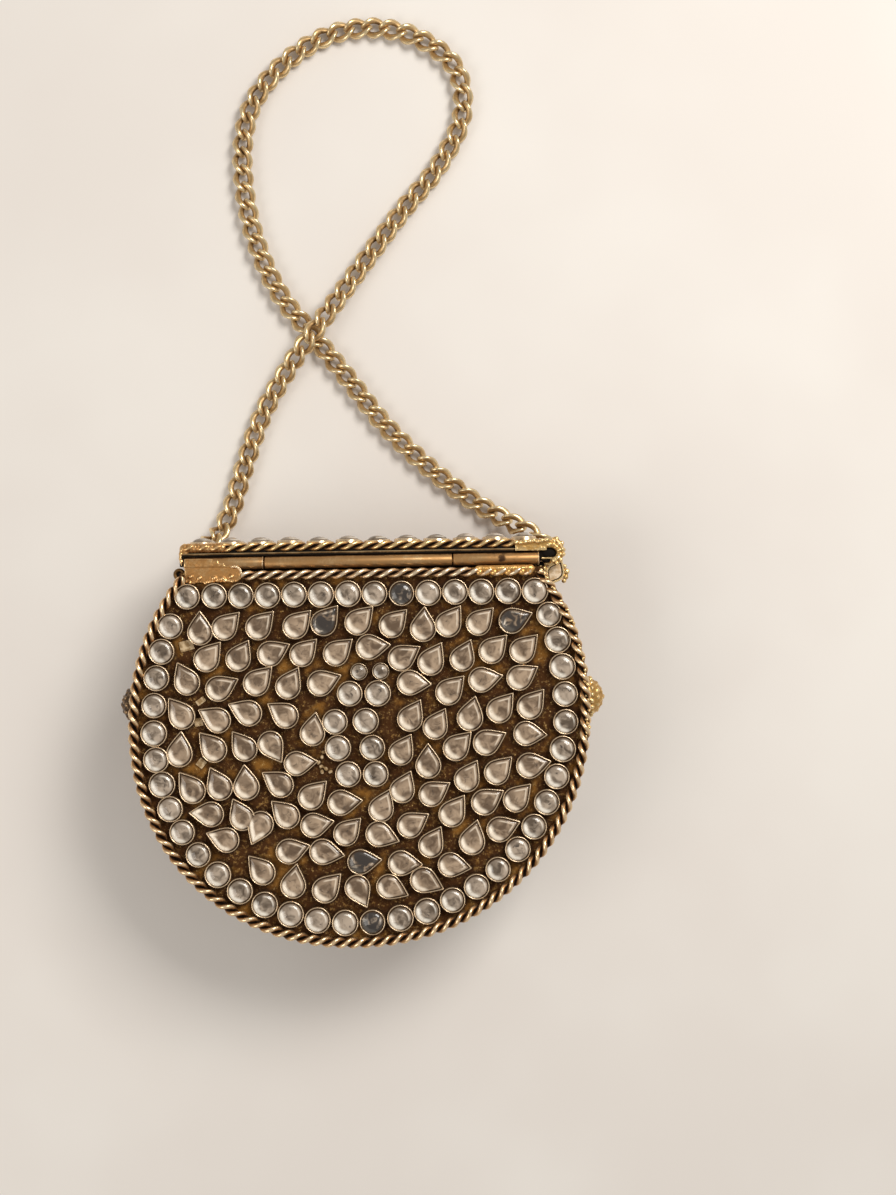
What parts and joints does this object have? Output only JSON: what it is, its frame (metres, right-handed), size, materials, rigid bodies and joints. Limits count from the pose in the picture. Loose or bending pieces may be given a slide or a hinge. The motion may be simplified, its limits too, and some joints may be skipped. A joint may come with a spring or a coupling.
{
  "type": "embellished clutch bag",
  "caption": "Hard round evening clutch of brass sheet covered in cup-set glass stones, with twisted wire edging, a hinged lid that is also its front flap, and a curb chain.",
  "frame": {"origin": "middle of the round front, on the surface that the clutch lies on", "axes": "+X along the hinge, to the right seen from the back; +Y from the bottom of the bag to its lid and chain; +Z from the front to the back, which faces up"},
  "size_m": [0.162, 0.3151, 0.0475],
  "materials": {
    "set_sheet": "aged, set with clear glass stones in cups",
    "plain_brass": "worn, part dark",
    "wire_rope": "bright on its ridges, dark between them",
    "dark_brass": "darkened",
    "worn_brass": "rubbed bright",
    "chain": "pale gold, satin",
    "lining": "short pile",
    "steel": "satin"
  },
  "bodies": {
    "lid": {"lid_shell": "set_sheet", "rope_lid_back": "wire_rope", "rope_flap_rim": "wire_rope", "lid_cap_strip": "worn_brass", "lid_rope_tip": "dark_brass", "hinge_knuckle_middle": "plain_brass", "hinge_pin": "plain_brass", "snap_keeper": "steel", "chain_lug_left": "chain", "end_ornament_right": "worn_brass", "chain_run_01": "chain", "chain_run_02": "chain", "chain_run_03": "chain", "chain_run_04": "chain", "chain_run_05": "chain", "chain_run_06": "chain", "chain_run_07": "chain", "chain_run_08": "chain", "chain_run_09": "chain", "chain_run_10": "chain", "chain_run_11": "chain", "chain_run_12": "chain", "chain_run_13": "chain", "chain_run_14": "chain"},
    "case": {"back_panel": "set_sheet", "front_panel": "plain_brass", "side_band": "dark_brass", "case_lining": "lining", "rope_back_rim": "wire_rope", "rope_back_top": "wire_rope", "side_boss_left": "worn_brass", "side_boss_right": "worn_brass", "corner_leaf_right": "worn_brass", "corner_eye_left": "dark_brass", "snap_magnet": "steel", "hinge_knuckle_left": "worn_brass", "hinge_knuckle_right": "worn_brass"}
  },
  "joints": [
    {"name": "lid_hinge", "type": "hinge", "parent": "lid", "child": "case", "pos_m": [0, 0.0506, 0.0426], "axis": [-1, 0, 0], "range_deg": [0, 100]}
  ]
}
